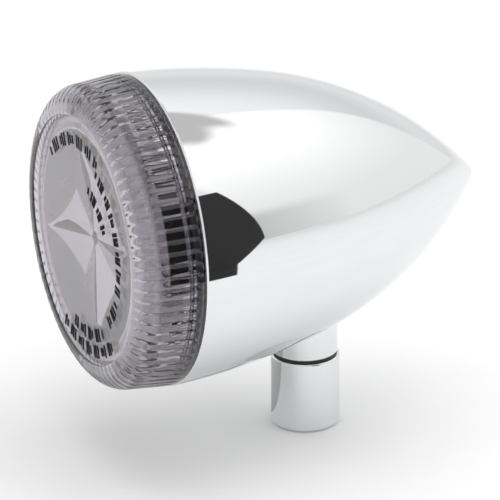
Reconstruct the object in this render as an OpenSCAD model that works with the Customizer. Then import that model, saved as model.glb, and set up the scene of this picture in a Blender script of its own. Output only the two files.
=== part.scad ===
// Bullet-shaped motorcycle turn signal on a short swivelling stem.
// Millimetres. The origin is the centre of the stem's foot, +Z runs up the stem,
// and the bullet lies along Y with its lens facing -Y and its tip at +Y.

/* [Housing] */
// Radius of the housing where it meets the lens
body_r = 27.2; // [26.5:0.1:34]
// Length of the housing from the lens seam to the tip
body_len = 61.6; // [54:0.1:76]
// Distance from the stem axis forward to the lens seam
seam_dist = 30; // [26:0.1:34]
// Radius of the long arc behind the seam
rear_arc_r = 131; // [90:1:200]
// How far ahead of the seam that arc has its crown
crown_ahead = 5.4; // [0:0.1:8]
// Distance behind the seam where the nose arc takes over
arc_join = 25.5; // [20:0.5:30]
// Radius of the rounded tip
tip_r = 2.2; // [1:0.1:4]
// Thickness of the cast wall
wall = 2; // [1.5:0.1:2.6]
// Solid metal left inside the tip
tip_solid = 7; // [5:0.5:10]

/* [Lens] */
// Step from the housing down to the lens at the seam
lens_step = 0.2; // [0:0.05:0.4]
// Length of the lens from the seam to its front
lens_len = 11.6; // [11.5:0.1:15]
// Radius lost by the taper of the skirt
skirt_taper = 0.5; // [0.2:0.1:0.8]
// Radius of the rounded shoulder
shoulder_r = 4.2; // [3.6:0.1:4.6]
// Thickness of the skirt at the seam
skirt_wall = 2.25; // [1.9:0.05:2.6]
// Thickness of the front face
face_wall = 2; // [1.6:0.1:2.2]
// Depth of the face below its rim bead
face_drop = 0.25; // [0.1:0.05:0.3]
// Radius of the corner inside the shoulder
corner_r = 4; // [3.6:0.1:4.1]
// Width of the rim bead
bead_w = 0.7; // [0.4:0.1:1]
// Number of flutes around the skirt
flutes = 80; // [60:1:90]
// Radius of the groove between two flutes
groove_r = 0.35; // [0.25:0.05:0.45]
// Plain lip behind the flutes
lip = 1; // [0.6:0.1:1.5]
// Depth of the snap ring inside the skirt
snap_h = 0.35; // [0.2:0.05:0.45]
// Distance of the snap ring from the seam
snap_at = 2; // [1.8:0.1:4.8]

/* [Collar and lens seal] */
// Clearance between the lens skirt and the collar
lens_gap = 0.15; // [0.1:0.05:0.3]
// Length of the collar ahead of the seam
collar_len = 7.6; // [7.3:0.1:7.7]
// Rounding of the collar's front edge, which follows the corner inside the shoulder
collar_round = 1.8; // [1.7:0.05:1.9]
// Thickness of the collar
collar_wall = 2; // [1.8:0.1:2.2]
// Thickness of the lens seal's cord
lens_seal_d = 0.9; // [0.8:0.1:1]
// Distance of the lens seal from the seam
lens_seal_at = 0.6; // [0.6:0.1:1.2]

/* [Reflector and light] */
// Clearance between the reflector and the lens face
reflector_gap = 0.25; // [0.2:0.05:0.4]
// Radius of the bowl's edge
bowl_r = 19; // [17:0.1:19.4]
// Depth of the bowl below its edge
bowl_depth = 4.6; // [4:0.1:4.8]
// Fall of the flange from the bowl's edge out to the collar
flange_fall = 1.6; // [1.5:0.1:2.2]
// Radius of the star's tips
star_r = 18.4; // [16:0.1:18.6]
// Radius of the corners between the star's arms
star_in_r = 10.6; // [9:0.1:12]
// Depth of those corners below the bowl's edge
star_in_drop = 2; // [1:0.1:2.4]
// Depth of the star's middle below the bowl's edge
star_mid_drop = 1.6; // [1.2:0.1:2]
// Turn of the star from upright
star_turn = 13; // [0:1:45]
// Radius of the light's window in the star
window_r = 1.2; // [0.8:0.1:1.6]
// Side of the light-emitting package
package_w = 5; // [4:0.1:5.4]
// Height of that package
package_h = 0.8; // [0.6:0.1:1]
// Radius of the clear dome on the package
dome_r = 2.1; // [1.5:0.1:2.3]
// Clearance around the dome in the star's pocket
dome_gap = 0.4; // [0.3:0.1:0.6]

/* [Boards and heat sink] */
// Thickness of both circuit boards
board_t = 1.6; // [1:0.1:2]
// Distance of the light board's front ahead of the seam
board_at = 2.9; // [2.7:0.1:3.2]
// Thickness of the thermal pad
pad_t = 0.5; // [0.3:0.1:0.7]
// Thickness of the heat sink plate
sink_t = 3; // [2:0.1:4]
// Clearance between the collar's bore and what stands in it
bore_gap = 0.25; // [0.2:0.05:0.4]
// Distance from the heat sink's edge in to its screws
sink_screw_inset = 3.55; // [3:0.05:3.6]
// Radius of the lugs that those screws bite into
lug_r = 3; // [2.4:0.1:3.2]
// Length of those lugs
lug_len = 8; // [6:0.5:10]
// Clearance between the lugs and the driver board
driver_gap = 0.8; // [0.3:0.1:0.9]
// Length of the spacers that hold the driver board
spacer_len = 5.5; // [5:0.1:8]
// Outer radius of those spacers
spacer_r = 1.9; // [1.7:0.1:2.1]
// Distance from the driver board's edge in to its spacers
spacer_inset = 2.6; // [2.2:0.1:2.8]
// Thickness of the insulating disc
insulator_t = 0.4; // [0.2:0.1:0.5]

/* [Screws] */
// Radius of the heat sink screws' shanks
sink_screw_r = 1.25; // [1:0.05:1.5]
// Radius of the driver board screws' shanks
driver_screw_r = 1; // [0.8:0.05:1.1]
// Clearance round a screw's shank in a plain hole
screw_gap = 0.15; // [0.1:0.05:0.2]

/* [Stem] */
// Radius of the stem's lower sleeve
stem_r = 6; // [5.8:0.1:8]
// Height of that sleeve
stem_h = 12.9; // [12:0.1:20]
// Chamfer round its foot
foot_chamfer = 0.5; // [0.2:0.1:0.8]
// Radius of the tapped hole for the M8 mounting bolt
thread_r = 3.4; // [2.6:0.05:3.5]
// Depth of that tapped hole
thread_depth = 10; // [8:0.5:11]
// Radius of the passage for the leads
passage_r = 2; // [1.4:0.1:2.1]
// Radius of the swivel spigot
spigot_r = 4; // [3.9:0.1:4.4]
// Clearance between the spigot and its bore
swivel_gap = 0.05; // [0.03:0.01:0.08]
// Thickness of the black swivel washer
swivel_washer_t = 0.5; // [0.4:0.1:1]
// Gap above and below a piece that turns on another
slip = 0.03; // [0.02:0.01:0.06]
// Radius of the stub under the housing
stub_r = 5.7; // [5.5:0.1:7]
// Length of the stub, on the stem axis
stub_len = 5.5; // [4:0.1:12]
// Thickness of the swivel seal's cord
stem_seal_d = 1; // [0.8:0.1:1.1]
// Radius of the swivel seat inside the housing
seat_r = 8.2; // [7.6:0.1:9]
// Height of that seat above the housing's underside
seat_h = 7; // [6.6:0.1:9]
// Thickness of the thrust washer
thrust_t = 0.8; // [0.5:0.1:1]
// Working height of the disc spring
spring_h = 0.9; // [0.8:0.05:1.2]
// Thickness of the disc spring's sheet
spring_t = 0.4; // [0.3:0.05:0.5]
// Thickness of the retaining ring
ring_t = 0.8; // [0.6:0.1:1]
// Depth of the retaining ring's groove
ring_groove = 0.5; // [0.4:0.05:0.6]

/* [Hidden] */
$fn = 96;
FINE = 720;
EPS = 0.01;

// Meridian of the housing: a long arc from the seam, a nose arc tangent to it, and a rounded
// tip tangent to that. Points are [radius, distance behind the seam].
crown_r = body_r + rear_arc_r - sqrt(rear_arc_r ^ 2 - crown_ahead ^ 2);
rear_centre = [crown_r - rear_arc_r, -crown_ahead];
join_turn = asin((arc_join + crown_ahead) / rear_arc_r);
join_dir = [cos(join_turn), sin(join_turn)];
join_pt = rear_centre + rear_arc_r * join_dir;
tip_centre = [0, body_len - tip_r];
tip_to_join = join_pt - tip_centre;
nose_arc_r = (tip_to_join * tip_to_join - tip_r ^ 2) / (2 * (tip_to_join * join_dir - tip_r));
nose_centre = join_pt - nose_arc_r * join_dir;
nose_to_tip = tip_centre - nose_centre;
tip_start = nose_centre[1] + nose_to_tip[1] * nose_arc_r / norm(nose_to_tip);
function arc_radius(centre, radius, at) = centre[0] + sqrt(radius ^ 2 - (at - centre[1]) ^ 2);
function housing_r(at) = at < arc_join ? arc_radius(rear_centre, rear_arc_r, at)
                                       : arc_radius(nose_centre, nose_arc_r, at);

// Heights up the stem, and the bullet's axis above them.
stub_z = stem_h + swivel_washer_t + 2 * slip;
belly_z = stub_z + stub_len;
axis_h = belly_z + housing_r(seam_dist);
seat_z = belly_z + seat_h;
thrust_z = seat_z + slip;
spring_z = thrust_z + thrust_t;
ring_z = spring_z + spring_h;
spigot_top = ring_z + ring_t + 1.4;
spigot_bore_r = spigot_r + swivel_gap;
seal_groove_r = spigot_bore_r - swivel_gap / 2 - stem_seal_d;
seal_z = stub_z + 2.4;

// Radii of the lens and the collar it fits over.
lens_r = body_r - lens_step;
shoulder_out_r = lens_r - skirt_taper;
shoulder_at = lens_len - shoulder_r;
face_r = shoulder_out_r - shoulder_r;
skirt_in_r = lens_r - skirt_wall;
collar_r = skirt_in_r - lens_gap;
collar_in_r = collar_r - collar_wall;
face_in = lens_len - face_drop - face_wall;
groove_out = 0.3 * groove_r;
taper_angle = atan(skirt_taper / shoulder_at);
flute_step = 360 / flutes;
lens_seal_groove = lens_seal_d - lens_gap;

// Stack inside the collar, as distances ahead of the seam.
edge_at = face_in - reflector_gap;
bowl_floor = edge_at - bowl_depth;
flange_r = collar_in_r - bore_gap;
flange_at = edge_at - flange_fall;
pad_back = board_at - board_t - pad_t;
sink_back = pad_back - sink_t;
sink_r = flange_r;
sink_screw_circle = sink_r - sink_screw_inset;
driver_r = sink_screw_circle - lug_r - driver_gap;
spacer_circle = driver_r - spacer_inset;
lug_depth = body_r - sink_screw_circle;
driver_front = sink_back - insulator_t - spacer_len;
driver_back = driver_front - board_t;
board_r = sink_r - 0.8;
peg_circle = 15.5;
peg_r = 1;
pin_slot = [7, 3];
pin_slot_y = -9;
pin_pitch = 2.54;
pin_r = 0.35;
pin_hole_r = 0.45;
pin_tip = 0.8;
terminal_y = 8;
terminal_r = 0.55;
terminal_hole_r = 0.65;
terminal_len = 5;
resistor = [3.2, 1.6, 0.6];
resistor_x = 6;
peg_gap = 0.1;
board_clearance_r = 2.5;
screw_count = 3;

// Bowl arc: it passes through the bowl's edge and its floor near the star's window.
hub_r = dome_r + dome_gap + 1.2;
bowl_span = bowl_r - hub_r;
bowl_arc_r = (bowl_span ^ 2 + bowl_depth ^ 2) / (2 * bowl_depth);

module behind_seam() {
  translate([0, -seam_dist, axis_h]) rotate([-90, 0, 0]) children();
}

module ahead_of_seam(at = 0) {
  translate([0, -seam_dist - at, axis_h]) rotate([90, 0, 0]) children();
}

module around(count, circle, start = 0) {
  for (i = [0 : count - 1]) rotate(start + i * 360 / count) translate([circle, 0, 0]) children();
}

module ring(outer, inner, height) {
  difference() {
    cylinder(r = outer, h = height);
    translate([0, 0, -1]) cylinder(r = inner, h = height + 2);
  }
}

module cord_ring(centre_r, cord_d) {
  rotate_extrude() translate([centre_r, 0]) circle(d = cord_d, $fn = 32);
}

// Half profile of the housing, inset by a wall thickness, between two distances.
module meridian(inset, from, to) {
  intersection() {
    translate(rear_centre) circle(r = rear_arc_r - inset, $fn = FINE);
    translate([0, from]) square([2 * body_r, arc_join - from]);
  }
  intersection() {
    translate(nose_centre) circle(r = nose_arc_r - inset, $fn = FINE);
    translate([0, arc_join]) square([2 * body_r, to - arc_join]);
  }
}

module outer_solid() {
  behind_seam() rotate_extrude($fn = 180) {
    meridian(0, 0, tip_start);
    intersection() {
      translate(tip_centre) circle(r = tip_r);
      translate([0, tip_start]) square([2 * tip_r, body_len - tip_start]);
    }
  }
}

module cavity() {
  behind_seam() rotate_extrude($fn = 180) meridian(wall, lug_len / 2, body_len - tip_solid);
  behind_seam() translate([0, 0, -collar_len - 1])
    cylinder(r = collar_in_r, h = collar_len + 1 + lug_len);
}

module collar_profile() {
  translate([0, -1]) square([collar_r - collar_round, collar_len + 1]);
  translate([0, -1]) square([collar_r, collar_len - collar_round + 1]);
  translate([collar_r - collar_round, collar_len - collar_round]) circle(r = collar_round);
}

module collar() {
  difference() {
    union() {
      ahead_of_seam() rotate_extrude() collar_profile();
      ahead_of_seam(snap_at) cord_ring(collar_r, 2 * snap_h);
    }
    ahead_of_seam(lens_seal_at - lens_seal_d * 0.6)
      ring(collar_r + 1, collar_r - lens_seal_groove, lens_seal_d * 1.2);
  }
}

module housing() {
  color("silver") difference() {
    union() {
      difference() {
        union() {
          outer_solid();
          collar();
          translate([0, 0, stub_z]) cylinder(r = stub_r, h = stub_len + seat_h);
        }
        cavity();
      }
      intersection() {
        outer_solid();
        union() {
          translate([0, 0, stub_z]) cylinder(r = seat_r, h = seat_z - stub_z);
          ahead_of_seam(sink_back - lug_len) around(screw_count, sink_screw_circle, 90) {
            cylinder(r = lug_r, h = lug_len);
            translate([0, -lug_r, 0]) cube([lug_depth, 2 * lug_r, lug_len]);
          }
        }
      }
    }
    translate([0, 0, stub_z - 1]) cylinder(r = spigot_bore_r, h = seat_z - stub_z + 2);
    ahead_of_seam(sink_back - lug_len + 1)
      around(screw_count, sink_screw_circle, 90) cylinder(r = sink_screw_r, h = lug_len);
  }
}

module lens_profile() {
  difference() {
    union() {
      polygon([[0, 0], [lens_r, 0], [shoulder_out_r, shoulder_at], [0, shoulder_at]]);
      translate([0, shoulder_at - EPS]) square([face_r, shoulder_r + EPS]);
      intersection() {
        translate([face_r, shoulder_at]) circle(r = shoulder_r);
        translate([face_r - EPS, shoulder_at - EPS]) square(shoulder_r + 2 * EPS);
      }
    }
    translate([-1, lens_len - face_drop]) square([face_r - bead_w + 1, 1]);
    translate([-1, -1]) square([skirt_in_r + 1, face_in - corner_r + 1]);
    translate([-1, 0]) square([skirt_in_r - corner_r + 1, face_in]);
    translate([skirt_in_r - corner_r, face_in - corner_r]) circle(r = corner_r);
    translate([skirt_in_r, snap_at]) circle(r = snap_h + lens_gap / 2, $fn = 32);
  }
}

module lens() {
  color([0.45, 0.42, 0.47, 0.5]) difference() {
    ahead_of_seam() rotate_extrude() lens_profile();
    ahead_of_seam() for (i = [0 : flutes - 1])
      rotate(i * flute_step) translate([lens_r + groove_out, 0, 0]) rotate([0, -taper_angle, 0])
        translate([0, 0, lip]) cylinder(r = groove_r, h = lens_len, $fn = 16);
  }
}

module lens_seal() {
  color("black") ahead_of_seam(lens_seal_at)
    cord_ring(collar_r - lens_seal_groove + lens_seal_d / 2, lens_seal_d);
}

module reflector_profile() {
  difference() {
    polygon([[0, board_at], [flange_r, board_at], [flange_r, flange_at],
             [bowl_r + 0.6, edge_at - 0.4], [bowl_r + 0.3, edge_at], [0, edge_at]]);
    intersection() {
      translate([hub_r, bowl_floor + bowl_arc_r]) circle(r = bowl_arc_r, $fn = FINE);
      translate([hub_r, bowl_floor]) square([bowl_span, bowl_depth + 1]);
    }
    translate([-1, bowl_floor]) square([hub_r + 1, bowl_depth + 1]);
  }
}

// A four-armed star: each arm is a ridge from its tip to the middle with two flat facets.
star_top = [for (i = [0 : 3]) each [
  [star_r * cos(90 * i), star_r * sin(90 * i), edge_at],
  [star_in_r * cos(90 * i + 45), star_in_r * sin(90 * i + 45), edge_at - star_in_drop]]];
star_floor = [for (p = star_top) [p[0], p[1], bowl_floor - 0.5]];
star_points = concat(star_top, star_floor,
                     [[0, 0, edge_at - star_mid_drop], [0, 0, bowl_floor - 0.5]]);
star_faces = [for (i = [0 : 7]) let (j = (i + 1) % 8) each [
  [i, 16, j], [i, j, 8 + j], [i, 8 + j, 8 + i], [8 + i, 8 + j, 17]]];

module star_reflector() {
  color("white") ahead_of_seam() difference() {
    union() {
      rotate_extrude() reflector_profile();
      intersection() {
        rotate(star_turn) polyhedron(star_points, star_faces);
        cylinder(r = bowl_r + 0.2, h = edge_at);
      }
      translate([0, 0, board_at - board_t]) around(screw_count, peg_circle, 30)
        cylinder(r = peg_r, h = board_t + EPS);
    }
    translate([0, 0, board_at - 1]) cylinder(r = window_r, h = edge_at);
    translate([0, 0, board_at - 1])
      cylinder(r = dome_r + dome_gap, h = package_h + dome_r + dome_gap + 1);
    translate([0, 0, board_at - 1])
      cylinder(r = package_w * 0.75, h = package_h + 1.3);
    for (side = [-1, 1])
      translate([side * resistor_x - resistor[0] / 2 - 0.2, -resistor[1], board_at - 1])
        cube([resistor[0] + 0.4, 2 * resistor[1], resistor[2] + 1.2]);
    translate([-pin_slot[0] / 2, pin_slot_y - pin_slot[1] / 2, board_at - 1])
      cube([pin_slot[0], pin_slot[1], pin_tip + 1.3]);
  }
}

module led_board() {
  color("white") ahead_of_seam(board_at - board_t) difference() {
    cylinder(r = board_r, h = board_t);
    translate([0, 0, -1]) {
      around(screw_count, peg_circle, 30) cylinder(r = peg_r + peg_gap, h = board_t + 2);
      around(screw_count, sink_screw_circle, 90)
        cylinder(r = board_clearance_r * sink_screw_r, h = board_t + 2);
      for (side = [-1, 1])
        translate([side * pin_pitch / 2, pin_slot_y, 0])
          cylinder(r = pin_hole_r, h = board_t + 2);
    }
  }
}

module led_package() {
  color("ivory") ahead_of_seam(board_at)
    translate([-package_w / 2, -package_w / 2, 0]) cube([package_w, package_w, package_h]);
}

module led_dome() {
  color("gold") ahead_of_seam(board_at + package_h) intersection() {
    sphere(r = dome_r);
    cylinder(r = 2 * dome_r, h = 2 * dome_r);
  }
}

module led_resistors() {
  color("dimgray") ahead_of_seam(board_at) for (side = [-1, 1])
    translate([side * resistor_x - resistor[0] / 2, -resistor[1] / 2, 0]) cube(resistor);
}

module thermal_pad() {
  color("lightgray") ahead_of_seam(pad_back) difference() {
    cylinder(r = board_r - 1, h = pad_t);
    translate([0, 0, -1]) {
      around(screw_count, peg_circle, 30) cylinder(r = peg_r + 0.5, h = pad_t + 2);
      around(screw_count, sink_screw_circle, 90) cylinder(r = 2.7 * sink_screw_r, h = pad_t + 2);
      translate([-pin_slot[0] / 2, pin_slot_y - pin_slot[1] / 2, 0])
        cube([pin_slot[0], pin_slot[1], pad_t + 2]);
    }
  }
}

module heat_sink() {
  color("lightsteelblue") ahead_of_seam(sink_back) difference() {
    cylinder(r = sink_r, h = sink_t);
    translate([0, 0, -1]) {
      around(screw_count, sink_screw_circle, 90)
        cylinder(r = sink_screw_r + screw_gap, h = sink_t + 2);
      around(screw_count, spacer_circle, 30) cylinder(r = driver_screw_r, h = sink_t + 2);
      translate([-pin_slot[0] / 2, pin_slot_y - pin_slot[1] / 2, 0])
        cube([pin_slot[0], pin_slot[1], sink_t + 2]);
    }
  }
}

// A pan-headed screw with its head on z = 0 and its shank running down to -length.
module pan_screw(shank_r, length, head_h) {
  difference() {
    union() {
      cylinder(r = 1.8 * shank_r, h = head_h);
      translate([0, 0, -length]) cylinder(r = shank_r, h = length + EPS);
    }
    translate([0, 0, head_h * 0.45]) for (turn = [0, 90]) rotate(turn)
      translate([-shank_r, -shank_r * 0.2, 0]) cube([2 * shank_r, shank_r * 0.4, head_h]);
  }
}

module sink_screws() {
  color("gainsboro") ahead_of_seam(pad_back) around(screw_count, sink_screw_circle, 90)
    pan_screw(sink_screw_r, sink_t + lug_len - 2, 1.3);
}

module insulating_disc() {
  color("khaki") ahead_of_seam(sink_back - insulator_t) difference() {
    cylinder(r = driver_r, h = insulator_t);
    translate([0, 0, -1]) {
      around(screw_count, spacer_circle, 30)
        cylinder(r = driver_screw_r + screw_gap, h = insulator_t + 2);
      translate([-pin_slot[0] / 2, pin_slot_y - pin_slot[1] / 2, 0])
        cube([pin_slot[0], pin_slot[1], insulator_t + 2]);
    }
  }
}

module board_spacers() {
  color("goldenrod") ahead_of_seam(driver_front) around(screw_count, spacer_circle, 30)
    ring(spacer_r, driver_screw_r + screw_gap, spacer_len);
}

module driver_board() {
  color("darkgreen") ahead_of_seam(driver_back) difference() {
    cylinder(r = driver_r, h = board_t);
    translate([0, 0, -1]) {
      around(screw_count, spacer_circle, 30)
        cylinder(r = driver_screw_r + screw_gap, h = board_t + 2);
      for (side = [-1, 1]) {
        translate([side * pin_pitch / 2, pin_slot_y, 0])
          cylinder(r = pin_hole_r, h = board_t + 2);
        translate([side * pin_pitch, terminal_y, 0])
          cylinder(r = terminal_hole_r, h = board_t + 2);
      }
    }
  }
}

module driver_screws() {
  color("gainsboro") ahead_of_seam(driver_back) rotate([180, 0, 0])
    around(screw_count, spacer_circle, -30)
      pan_screw(driver_screw_r, board_t + spacer_len + insulator_t + sink_t - 0.6, 1.1);
}

module driver_chip() {
  color("#222222") ahead_of_seam(driver_back - 1.6) translate([-3, -1, 0]) cube([6, 5, 1.6]);
}

module inductor() {
  color("dimgray") ahead_of_seam(driver_back - 4) translate([-7, -4.6, 0]) difference() {
    intersection() {
      translate([-3.2, -3.2, 0]) cube([6.4, 6.4, 4]);
      cylinder(r = 4, h = 4);
    }
    translate([0, 0, -1]) ring(3, 1.6, 2);
  }
}

module capacitors() {
  color("steelblue") ahead_of_seam(driver_back - 6) for (place = [[7.2, -6.2], [9.6, -0.1]])
    translate(place) cylinder(r = 3.1, h = 6);
}

module driver_resistors() {
  color("black") ahead_of_seam(driver_back - 0.6) for (i = [0 : 3])
    translate([2.4 * (i - 1.5) - 0.6, 10.4, 0]) cube([1.25, 2, 0.6]);
}

module polarity_diode() {
  color("#333333") ahead_of_seam(driver_back - 2.2) translate([-9, 0, 0]) cube([4.6, 2.8, 2.2]);
}

module board_pins() {
  color("gold") ahead_of_seam(driver_back - pin_tip) for (side = [-1, 1])
    translate([side * pin_pitch / 2, pin_slot_y, 0])
      cylinder(r = pin_r, h = board_at - driver_back + 2 * pin_tip);
}

module lead_terminals() {
  color("gold") ahead_of_seam(driver_back - terminal_len) for (side = [-1, 1])
    translate([side * pin_pitch, terminal_y, 0])
      cylinder(r = terminal_r, h = terminal_len + board_t);
}

module stem_base() {
  color("silver") difference() {
    union() {
      cylinder(r1 = stem_r - foot_chamfer, r2 = stem_r, h = foot_chamfer);
      translate([0, 0, foot_chamfer]) cylinder(r = stem_r, h = stem_h - foot_chamfer);
      cylinder(r = spigot_r, h = spigot_top);
    }
    translate([0, 0, -1]) {
      cylinder(r = passage_r, h = spigot_top + 2);
      cylinder(r = thread_r, h = thread_depth + 1);
    }
    translate([0, 0, seal_z - stem_seal_d * 0.6])
      ring(spigot_r + 1, seal_groove_r, stem_seal_d * 1.2);
    translate([0, 0, ring_z]) ring(spigot_r + 1, spigot_r - ring_groove, ring_t);
  }
}

module swivel_washer() {
  color("black") translate([0, 0, stem_h + slip])
    ring(stub_r - 0.15, spigot_r + 0.15, swivel_washer_t);
}

module swivel_seal() {
  color("black") translate([0, 0, seal_z])
    cord_ring(seal_groove_r + stem_seal_d / 2, stem_seal_d);
}

module thrust_washer() {
  color("gainsboro") translate([0, 0, thrust_z]) ring(seat_r - 0.8, spigot_r + 0.1, thrust_t);
}

// A coned disc: its inner edge stands on the retaining ring, its outer edge on the washer.
module disc_spring() {
  color("gray") translate([0, 0, spring_z]) rotate_extrude()
    polygon([[spigot_r + 0.2, spring_h - spring_t], [spigot_r + 0.2, spring_h],
             [seat_r - 1.4, spring_t], [seat_r - 1.4, 0]]);
}

module retaining_ring() {
  color("dimgray") translate([0, 0, ring_z]) difference() {
    ring(spigot_r + 1.6, spigot_r - ring_groove, ring_t);
    translate([0, -1.5, -1]) cube([2 * seat_r, 3, ring_t + 2]);
  }
}

module lead_grommet() {
  color("black") translate([0, 0, spigot_top]) difference() {
    union() {
      cylinder(r = spigot_r, h = 1.5);
      translate([0, 0, -2]) cylinder(r = passage_r, h = 2 + EPS);
    }
    translate([0, 0, -3]) cylinder(r = passage_r * 0.55, h = 6);
  }
}

stem_base();
swivel_washer();
swivel_seal();
thrust_washer();
disc_spring();
retaining_ring();
lead_grommet();
housing();
lens();
lens_seal();
star_reflector();
led_board();
led_package();
led_dome();
led_resistors();
thermal_pad();
heat_sink();
sink_screws();
insulating_disc();
board_spacers();
driver_board();
driver_screws();
driver_chip();
inductor();
capacitors();
driver_resistors();
polarity_diode();
board_pins();
lead_terminals();
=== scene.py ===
"""Bullet-shaped motorcycle turn signal: finished surfaces and materials round its CAD frame, in metres."""

import math

import bmesh
import bpy
from mathutils import Matrix, Vector


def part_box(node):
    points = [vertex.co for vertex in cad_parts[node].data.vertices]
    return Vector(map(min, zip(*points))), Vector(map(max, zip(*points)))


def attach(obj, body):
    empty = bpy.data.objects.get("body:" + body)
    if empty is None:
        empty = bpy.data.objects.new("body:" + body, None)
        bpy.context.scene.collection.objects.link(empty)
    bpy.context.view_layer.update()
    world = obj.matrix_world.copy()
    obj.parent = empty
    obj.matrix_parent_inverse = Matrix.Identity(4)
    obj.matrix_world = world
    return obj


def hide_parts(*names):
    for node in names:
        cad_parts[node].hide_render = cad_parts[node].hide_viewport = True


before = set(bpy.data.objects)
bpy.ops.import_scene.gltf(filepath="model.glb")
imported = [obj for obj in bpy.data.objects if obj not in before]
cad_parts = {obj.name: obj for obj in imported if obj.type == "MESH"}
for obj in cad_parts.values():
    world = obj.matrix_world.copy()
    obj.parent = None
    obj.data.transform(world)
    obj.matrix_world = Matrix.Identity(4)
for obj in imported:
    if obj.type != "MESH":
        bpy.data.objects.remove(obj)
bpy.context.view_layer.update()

bl_info = {
    "name": "Bullet turn signal",
    "version": (1, 0, 0),
    "blender": (4, 5, 0),
    "location": "View3D > Sidebar > Turn signal",
    "description": "Builds a chrome bullet turn signal with a smoked ribbed lens round its CAD frame",
    "category": "Object",
}

MM = 0.001
TURN = 2 * math.pi

# Places that the frame gives. The bullet lies along Y with its lens at -Y, and the stem along Z.
LENS_LOW, LENS_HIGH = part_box("lens")
HOUSING_LOW, HOUSING_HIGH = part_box("housing")
STEM_LOW, STEM_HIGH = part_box("stem_base")
WASHER_LOW, WASHER_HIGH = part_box("swivel_washer")
SEAT_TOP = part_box("thrust_washer")[0].z
SEAM_Y = LENS_HIGH.y
AXIS_Z = (LENS_LOW.z + LENS_HIGH.z) / 2
LENS_R = (LENS_HIGH.x - LENS_LOW.x) / 2
LENS_LEN = LENS_HIGH.y - LENS_LOW.y
BODY_R = (HOUSING_HIGH.x - HOUSING_LOW.x) / 2
BODY_LEN = HOUSING_HIGH.y - SEAM_Y
COLLAR_LEN = SEAM_Y - HOUSING_LOW.y
STEM_R = (STEM_HIGH.x - STEM_LOW.x) / 2
STEM_H = WASHER_LOW.z
STUB_Z = WASHER_HIGH.z
BOARD_FRONT = SEAM_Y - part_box("led_package")[1].y
SINK_BACK = SEAM_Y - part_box("heat_sink")[1].y
REFLECTOR_EDGE = SEAM_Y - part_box("star_reflector")[0].y
FLANGE_R = (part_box("star_reflector")[1].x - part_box("star_reflector")[0].x) / 2
BULLET_AXIS = (Vector((0, 0, AXIS_Z)), Vector((0, 1, 0)))
STEM_AXIS = (Vector((0, 0, 0)), Vector((0, 0, 1)))

# Where the lens's plain lip ends, and where its flutes reach their full depth, both ahead of the seam.
LIP_PLAIN = 0.8 * MM
LIP_FADE = 1.5 * MM


def linear(code):
    """A colour written as sRGB hex, as the linear RGBA that shaders work in."""
    parts = [int(code[i : i + 2], 16) / 255 for i in (0, 2, 4)]
    return (*[c / 12.92 if c <= 0.04045 else ((c + 0.055) / 1.055) ** 2.4 for c in parts], 1.0)


def colour_property(name, description, code):
    """A colour that the sidebar can change."""
    return bpy.props.FloatVectorProperty(
        name=name, description=description, subtype="COLOR", size=4, min=0, max=1, default=linear(code)
    )


def length_property(name, description, value):
    """A length that the sidebar can change, given in millimetres."""
    return bpy.props.FloatProperty(
        name=name, description=description, unit="LENGTH", precision=5, min=0, default=value * MM
    )


class SignalSizes(bpy.types.PropertyGroup):
    rear_arc_r: length_property("Rear arc", "Radius of the long arc behind the seam", 131)
    crown_ahead: length_property("Crown", "How far ahead of the seam the rear arc has its crown", 5.4)
    arc_join: length_property("Arc join", "Where the nose arc takes over, behind the seam", 25.5)
    tip_r: length_property("Tip radius", "Radius of the rounded tip", 2.2)
    wall: length_property("Wall", "Thickness of the cast wall", 2)
    tip_solid: length_property("Solid tip", "Solid metal left inside the tip", 7)
    collar_round: length_property("Collar edge", "Rounding of the collar's front edge", 1.8)
    seam_round: length_property("Seam edge", "Rounding of the housing's front edge", 0.35)
    stub_r: length_property("Stub radius", "Radius of the stub under the housing", 5.7)
    stub_fillet: length_property("Stub fillet", "Fillet where the stub meets the housing", 0.7)
    shoulder_r: length_property("Lens shoulder", "Radius of the lens's rounded shoulder", 4.2)
    skirt_taper: length_property("Skirt taper", "Radius that the lens skirt loses towards the front", 0.5)
    skirt_wall: length_property("Skirt wall", "Thickness of the lens skirt", 2.25)
    face_wall: length_property("Face wall", "Thickness of the lens face", 2)
    face_drop: length_property("Face drop", "Depth of the face below its rim bead", 0.25)
    inner_arc_r: length_property("Inner shoulder", "Radius of the arc inside the lens shoulder", 4)
    snap_at: length_property("Snap ring", "Distance of the snap ring from the seam", 2)
    flute_crown: length_property("Flute crown", "Height of each flute's convex crown", 0.05)
    flute_groove: length_property("Flute groove", "Extra depth of the narrow groove between flutes", 0.2)
    bowl_r: length_property("Bowl radius", "Radius of the reflector bowl's edge", 19)
    bowl_depth: length_property("Bowl depth", "Depth of the reflector bowl", 4.6)
    flange_fall: length_property("Flange fall", "Fall of the flange from the bowl's edge outwards", 1.6)
    star_r: length_property("Star radius", "Radius of the star's tips", 18.4)
    star_in_r: length_property("Star corners", "Radius of the corners between the star's arms", 10.6)
    star_in_drop: length_property("Corner drop", "Depth of those corners below the bowl's edge", 2)
    star_mid_drop: length_property("Middle drop", "Depth of the star's middle below the bowl's edge", 1.6)
    window_r: length_property("Window radius", "Radius of the light's window in the star", 1.2)
    hub_r: length_property("Hub radius", "Radius of the flat middle under the star", 3.7)
    side_pull: length_property("Star sides", "How far the sides of the arms curve in", 1.1)
    petal_w: length_property("Petal width", "Width of the petal-shaped scoop along each arm", 2.6)
    petal_depth: length_property("Petal depth", "Depth of that scoop", 0.9)
    flutes: bpy.props.IntProperty(name="Flutes", description="Number of flutes round the lens", default=80)
    star_turn: bpy.props.FloatProperty(
        name="Star turn",
        description="Turn of the star from upright",
        subtype="ANGLE",
        default=math.radians(13),
    )


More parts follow.
